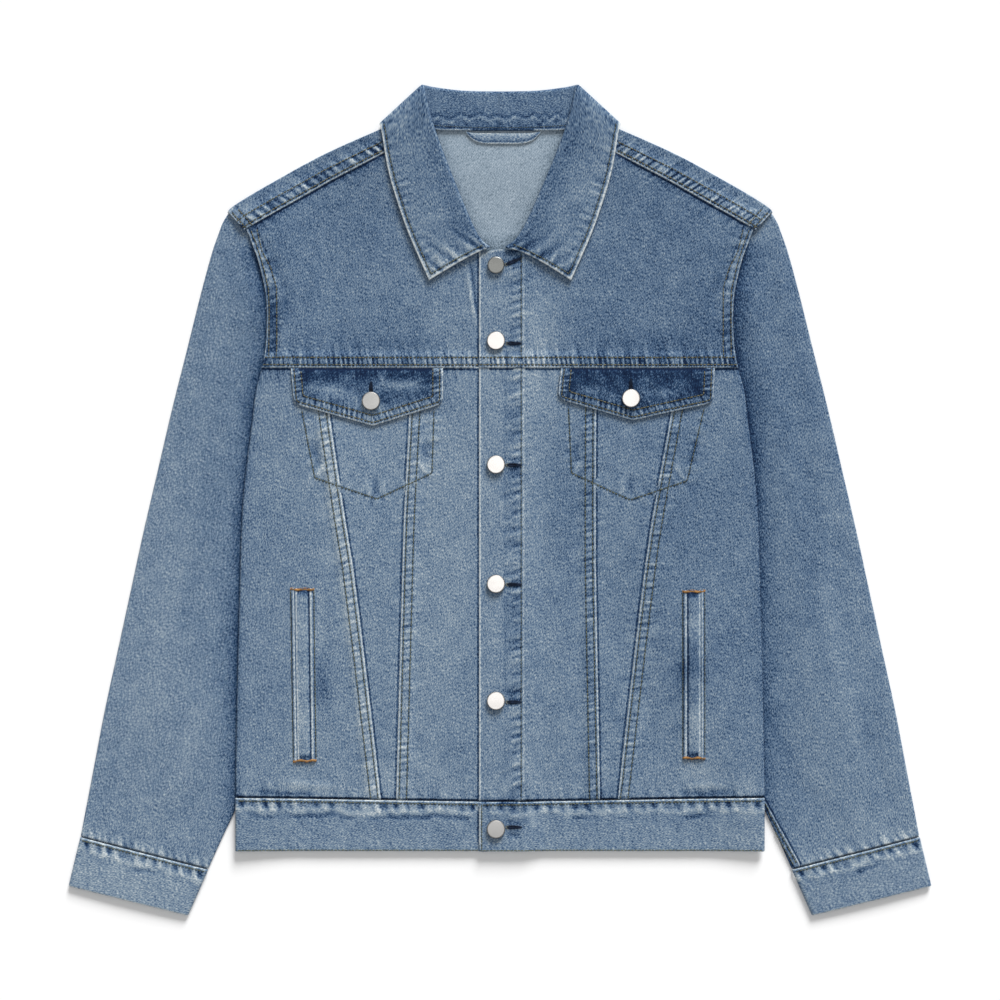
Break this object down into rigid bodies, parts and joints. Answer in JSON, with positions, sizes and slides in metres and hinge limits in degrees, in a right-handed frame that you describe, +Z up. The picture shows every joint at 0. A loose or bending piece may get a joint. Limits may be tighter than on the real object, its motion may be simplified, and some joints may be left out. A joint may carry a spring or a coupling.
{
  "type": "denim jacket",
  "caption": "Mid-wash blue denim trucker jacket laid flat and buttoned, with a fold-down collar, pointed chest pocket flaps, welt hand pockets, waistband and cuffs.",
  "frame": {"origin": "on the surface that the jacket lies on, under the middle of its outline", "axes": "+Z up out of the front of the jacket, +Y toward the collar, +X toward the wearer's left sleeve"},
  "size_m": [0.803, 0.7734, 0.0116],
  "materials": {
    "denim": "washed indigo twill",
    "thread": "spun topstitching thread",
    "button_metal": "satin"
  },
  "bodies": {
    "root": {"back_panel": "denim", "back_yoke": "denim", "collar": "denim", "hanger_loop": "denim", "waistband_back": "denim", "front_yoke_left": "denim", "front_yoke_right": "denim", "front_panel_left": "denim", "front_panel_right": "denim", "front_insert_left": "denim", "front_insert_right": "denim", "side_front_left": "denim", "side_front_right": "denim", "waistband_front_left": "denim", "waistband_front_right": "denim", "sleeve_top_left": "denim", "sleeve_top_right": "denim", "sleeve_under_left": "denim", "sleeve_under_right": "denim", "cuff_top_left": "denim", "cuff_top_right": "denim", "cuff_under_left": "denim", "cuff_under_right": "denim", "flap_left": "denim", "flap_right": "denim", "welt_left": "denim", "welt_right": "denim", "button_1": "button_metal", "button_2": "button_metal", "button_3": "button_metal", "button_4": "button_metal", "button_5": "button_metal", "button_6": "button_metal", "flap_button_left": "button_metal", "flap_button_right": "button_metal"}
  },
  "joints": []
}
